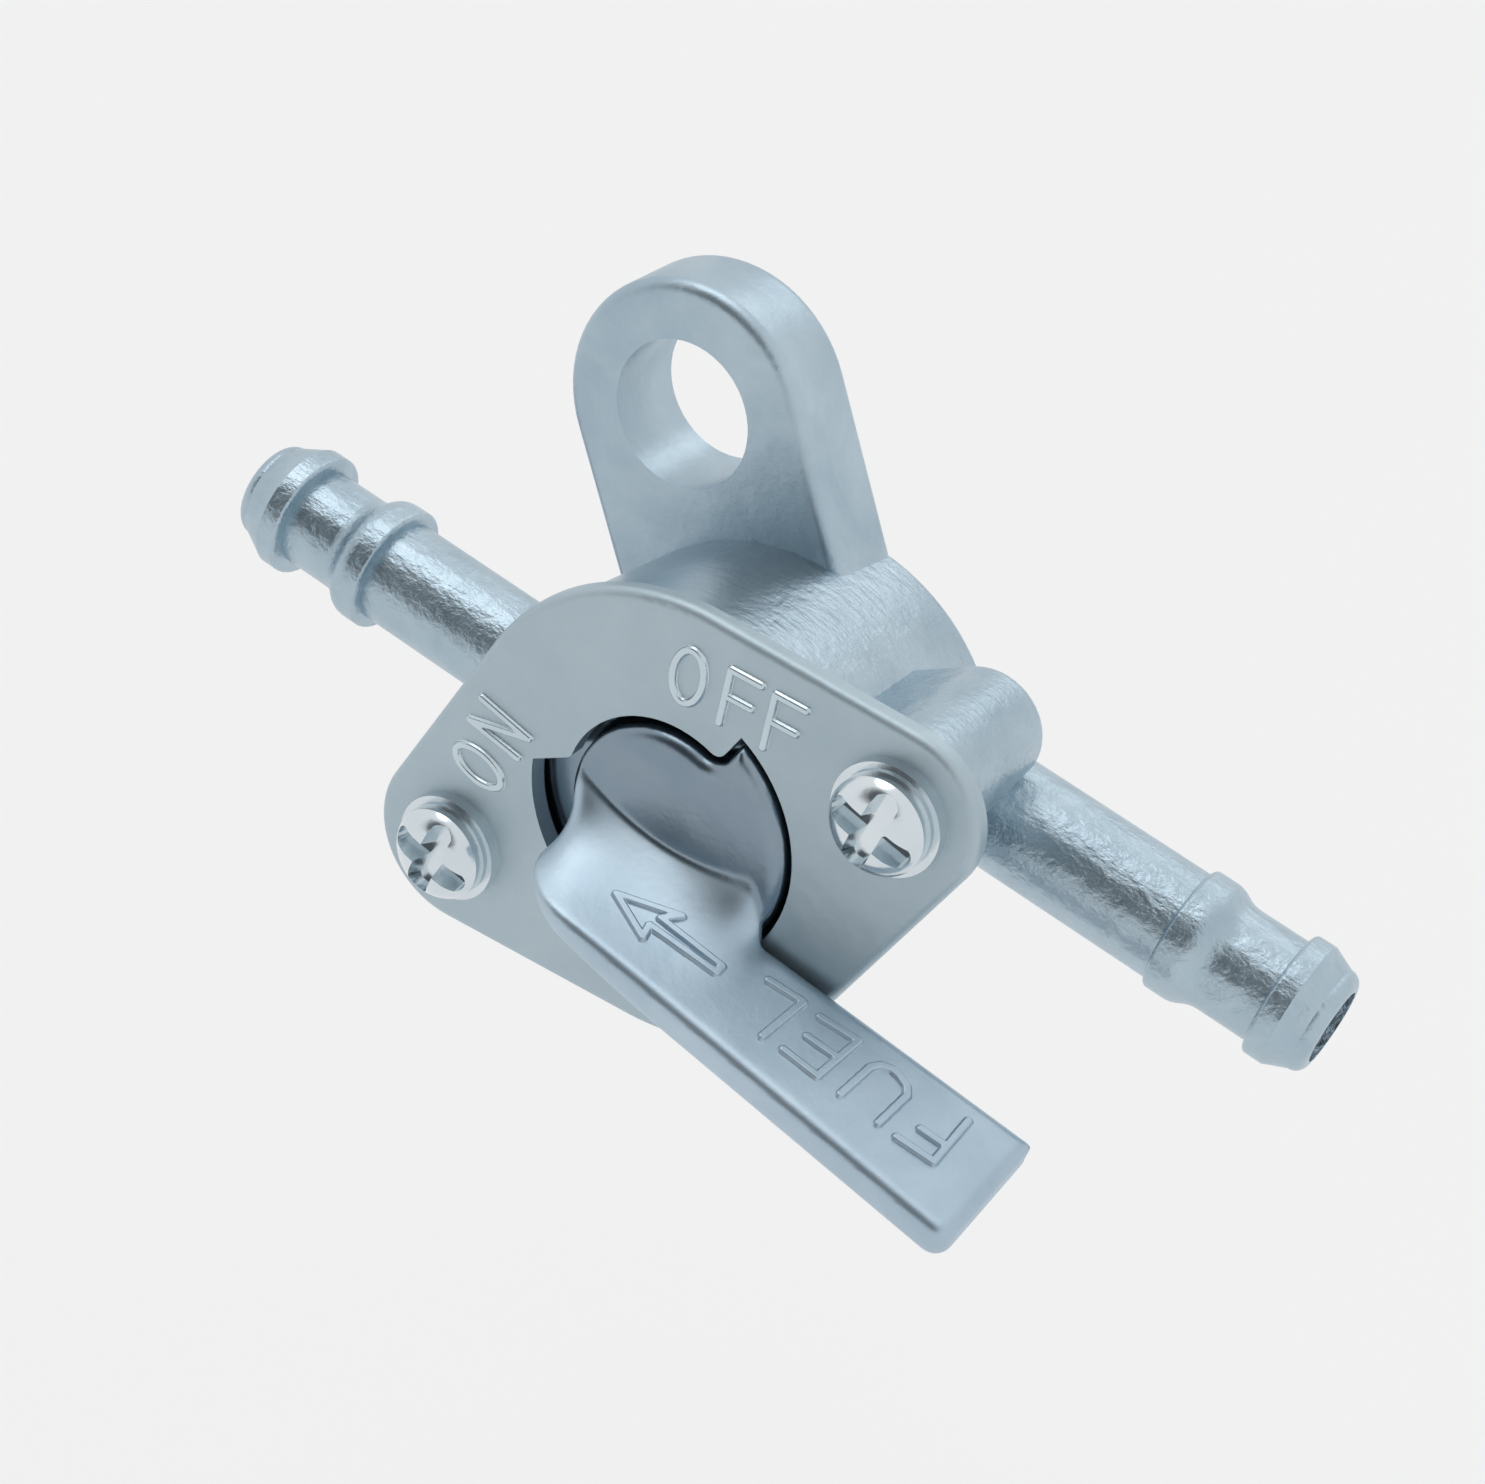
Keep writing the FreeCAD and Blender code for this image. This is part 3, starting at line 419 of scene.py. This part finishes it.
def cast_lever():
    """Lever whose root runs out into the blade, and its faces for ray casts."""
    piece = remeshed(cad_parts["lever"].data, "lever_casting")
    shape = piece.data
    places = np.empty(3 * len(shape.vertices))
    shape.vertices.foreach_get("co", places)
    places = (places.reshape(-1, 3) - np.array(VALVE)) / MM
    edges = np.empty(2 * len(shape.edges), dtype=int)
    shape.edges.foreach_get("vertices", edges)
    edges = edges.reshape(-1, 2)
    run = places @ np.array(along)
    side = places @ np.array(aside)
    proud = -places[:, 1]

    places = heel_kept_round(places)
    places = relaxed(places, edges, fold_weight(run, side, proud), FOLD_PASSES)
    places = relaxed(places, edges, smooth_step(proud, *FRONT), SOFT_PASSES)

    places = places * MM + np.array(VALVE)
    shape.vertices.foreach_set("co", places.ravel())
    shape.polygons.foreach_set("use_smooth", [True] * len(shape.polygons))
    shape.materials.clear()
    shape.materials.append(smooth)
    shape.update()
    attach(piece, "lever")
    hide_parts("lever")
    return BVHTree.FromPolygons(
        [vertex.co for vertex in shape.vertices],
        [tuple(polygon.vertices) for polygon in shape.polygons],
    )


cast_face = cast_lever()


# Raised lettering: a fine grid over each word, lifted along its strokes.
# Strokes, widths and heights are in millimetres on the face.

RELIEF_STEP = 0.042
RELIEF_FLANK = 0.45
RELIEF_SINK = 0.006
RELIEF_DROP = 4.0 * MM


def stroke_distance(points, strokes):
    """Distance from each point to the nearest stroke, each a list of corners."""
    nearest = np.full(len(points), np.inf)
    for stroke in strokes:
        for start, end in zip(stroke[:-1], stroke[1:]):
            start, end = np.array(start), np.array(end)
            run = end - start
            share = np.clip((points - start) @ run / (run @ run), 0.0, 1.0)
            gap = np.linalg.norm(points - start - share[:, None] * run, axis=1)
            nearest = np.minimum(nearest, gap)
    return nearest


def laid(spot, under):
    """Where the camera's sight through a spot meets the faces under it."""
    sight = (spot - CAMERA_PLACE).normalized()
    return under.ray_cast(spot - sight * RELIEF_DROP, sight)[0] or spot


def relief(name, strokes, face, half, height, finish):
    """Ridge of rounded section along strokes on a face.

    face is its origin, its directions across, up and out, and the faces that
    it is laid on or None; finish is the material, the body and the slot, of which the slot is not
    used.
    """
    origin, across, up, out, under = face
    material, body, slot = finish
    corners = np.array([corner for stroke in strokes for corner in stroke])
    low = corners.min(axis=0) - 2 * half
    high = corners.max(axis=0) + 2 * half
    xs = np.arange(low[0], high[0] + RELIEF_STEP, RELIEF_STEP)
    ys = np.arange(low[1], high[1] + RELIEF_STEP, RELIEF_STEP)
    grid = np.array([(x, y) for y in ys for x in xs])
    gap = stroke_distance(grid, strokes)
    rise = np.clip((half - gap) / (half * RELIEF_FLANK), 0.0, 1.0)
    lift = height * rise * rise * (3 - 2 * rise) - RELIEF_SINK
    kept = {}
    verts, faces = [], []
    width = len(xs)
    for row in range(len(ys) - 1):
        for column in range(width - 1):
            first = row * width + column
            ring = (first, first + 1, first + width + 1, first + width)
            if min(gap[index] for index in ring) > half:
                continue
            for index in ring:
                if index not in kept:
                    x, y = grid[index]
                    spot = origin + across * (x * MM) + up * (y * MM)
                    if under:
                        spot = laid(spot, under)
                    kept[index] = len(verts)
                    verts.append(spot + out * (lift[index] * MM))
            faces.append([kept[index] for index in ring])
    mesh = bpy.data.meshes.new(name)
    mesh.from_pydata([tuple(spot) for spot in verts], [], faces)
    mesh.polygons.foreach_set("use_smooth", [True] * len(mesh.polygons))
    mesh.materials.append(material)
    piece = bpy.data.objects.new(name, mesh)
    bpy.context.scene.collection.objects.link(piece)
    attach(piece, body)


def turned(x, z, places, tilt):
    """Places moved to a point and turned by an angle in degrees."""
    cosine = math.cos(math.radians(tilt))
    sine = math.sin(math.radians(tilt))
    return [(x + px * cosine - pz * sine, z + px * sine + pz * cosine) for px, pz in places]


def oval(x, z, wide, tall, tilt, count=40):
    """Closed upright oval stroke, turned by an angle in degrees."""
    angles = [2 * math.pi * index / count for index in range(count + 1)]
    return turned(x, z, [(wide * math.cos(angle), tall * math.sin(angle)) for angle in angles], tilt)


# OFF and ON on the plate, each letter turned to stand round the valve
LETTER_F = [[(0, 0), (0, 3.1), (1.75, 3.1)], [(0, 1.6), (1.5, 1.6)]]
OFF_TILT = -31.0
ON_TILT = 46.0
plate_face = (VALVE, Vector((1, 0, 0)), Vector((0, 0, 1)), OUT, None)
plate_finish = (letters, "housing", "plated_sheet")

off_strokes = [oval(4.40, 7.65, 0.88, 1.50, OFF_TILT)]
off_strokes += [turned(5.50, 5.22, stroke, OFF_TILT) for stroke in LETTER_F]
off_strokes += [turned(7.70, 3.84, stroke, OFF_TILT) for stroke in LETTER_F]
relief("off_word", off_strokes, plate_face, half=0.25, height=0.2, finish=plate_finish)

on_strokes = [
    oval(-10.7, 3.35, 0.85, 1.55, ON_TILT),
    [(-7.86, 3.75), (-10.31, 5.99), (-6.76, 4.77), (-9.08, 7.11)],
]
relief("on_word", on_strokes, plate_face, half=0.25, height=0.2, finish=plate_finish)

# FUEL and an arrow on the blade, laid on the cast lever
face_up = OUT * math.cos(BLADE_LEAN) - aside * math.sin(BLADE_LEAN)
face_out = aside * math.cos(BLADE_LEAN) + OUT * math.sin(BLADE_LEAN)
blade_face = (VALVE - aside * BLADE_OFFSET, along, face_up, face_out, cast_face)
blade_finish = (smooth, "lever", "plated_lever")

letter_l = [[(9.34, 2.16), (11.38, 1.98), (11.10, 4.95)]]
letter_e = [
    [(12.5, 2.10), (14.72, 1.90), (14.44, 4.90), (12.3, 4.85)],
    [(12.7, 3.45), (14.58, 3.38)],
]
letter_u = [[
    (15.87, 4.93), (16.04, 2.69), (16.35, 2.25), (16.9, 2.05),
    (17.46, 2.13), (18.0, 2.35), (18.31, 2.75), (18.19, 4.96),
]]
letter_f = [
    [(21.35, 1.84), (21.41, 4.87), (19.29, 4.99)],
    [(21.38, 3.75), (19.89, 3.82)],
]
arrow = [[
    (0.67, 3.42), (3.25, 4.52), (3.05, 3.72), (7.17, 3.62),
    (7.17, 3.12), (3.2, 3.02), (3.90, 2.18), (0.67, 3.42),
]]
fuel_strokes = letter_l + letter_e + letter_u + letter_f + arrow
relief("fuel_word", fuel_strokes, blade_face, half=0.28, height=0.22, finish=blade_finish)


# Camera at the photograph's place

PHOTO_WIDTH = 1485
FOCAL_PIXELS = 3126.31
SENSOR = 36.0
CLIP_START = 0.005
camera_right = Vector((0.8015, 0.5421, -0.2526))
camera_forward = Vector((-0.5973, 0.7465, -0.2931))
camera_up = camera_right.cross(camera_forward)

camera_data = bpy.data.cameras.new("camera")
camera_data.sensor_fit = "HORIZONTAL"
camera_data.sensor_width = SENSOR
camera_data.lens = FOCAL_PIXELS / PHOTO_WIDTH * SENSOR
camera_data.clip_start = CLIP_START
camera = bpy.data.objects.new("camera", camera_data)
bpy.context.scene.collection.objects.link(camera)
turn = Matrix((camera_right, camera_up, -camera_forward)).transposed()
camera.matrix_world = Matrix.Translation(CAMERA_PLACE) @ turn.to_4x4()
bpy.context.scene.camera = camera


# Pale matt floor, so wide that its edge lies far behind the object

PALE = (0.96, 0.96, 0.96)
PALE_SHADE = tuple(tone * 0.99 for tone in PALE)
PATCH_SCALE = 3.0
FLOOR_HEIGHT = -0.11
FLOOR_SIZE = 45.0


def floor_surface():
    """Matt pale floor with a faint unevenness."""
    material, tree, output = new_material("pale_floor")
    place = node(tree, "ShaderNodeTexCoord").outputs["Object"]
    patches = noise(tree, place, PATCH_SCALE)
    colour = ramp(tree, patches, [(0.2, PALE), (0.8, PALE_SHADE)])
    matt = node(tree, "ShaderNodeBsdfDiffuse", Color=colour)
    tree.links.new(matt.outputs[0], output.inputs["Surface"])
    return material


signs = ((-1, -1), (1, -1), (1, 1), (-1, 1))
floor_corners = [(x * FLOOR_SIZE, y * FLOOR_SIZE, FLOOR_HEIGHT) for x, y in signs]
floor_mesh = bpy.data.meshes.new("floor")
floor_mesh.from_pydata(floor_corners, [], [(0, 1, 2, 3)])
floor_mesh.materials.append(floor_surface())
floor = bpy.data.objects.new("floor", floor_mesh)
bpy.context.scene.collection.objects.link(floor)


# Sky of a soft studio: pale, with a dark patch on the side of the lever.
# The range is of the cosine between a direction and the patch's middle.

DARK_SIDE = Vector((0.04, -0.87, 0.50)).normalized()
DARK_RANGE = (0.78, 0.95)
SKY_TONE = (0.88, 0.88, 0.885)
DARK_TONE = (0.10, 0.105, 0.11)
SKY_STRENGTH = 1.0


def studio_sky():
    """World lit evenly but for its dark patch."""
    world = bpy.data.worlds.new("studio")
    bpy.context.scene.world = world
    world.use_nodes = True
    tree = world.node_tree
    tree.nodes.clear()
    output = tree.nodes.new("ShaderNodeOutputWorld")
    towards = node(tree, "ShaderNodeVectorMath", {"operation": "DOT_PRODUCT"})
    feed(tree, towards.inputs[0], node(tree, "ShaderNodeTexCoord").outputs["Generated"])
    feed(tree, towards.inputs[1], DARK_SIDE)
    shade = eased(tree, towards.outputs["Value"], DARK_RANGE)
    colour = ramp(tree, shade, [(0.0, SKY_TONE), (1.0, DARK_TONE)])
    sky = node(tree, "ShaderNodeBackground", Color=colour, Strength=SKY_STRENGTH)
    tree.links.new(sky.outputs[0], output.inputs["Surface"])


def broad_lamp(name, direction, strength, spread):
    """Soft lamp far away in a direction, as wide as its spread in degrees."""
    lamp = bpy.data.lights.new(name, "SUN")
    lamp.energy = strength
    lamp.angle = math.radians(spread)
    holder = bpy.data.objects.new(name, lamp)
    holder.rotation_euler = (-Vector(direction)).to_track_quat("-Z", "Y").to_euler()
    bpy.context.scene.collection.objects.link(holder)


studio_sky()
broad_lamp("overhead", (0.15, -0.06, 0.985), 0.36, 34.0)
broad_lamp("back", (0.33, 0.72, 0.61), 0.13, 26.0)

bpy.context.scene.view_settings.view_transform = "Standard"
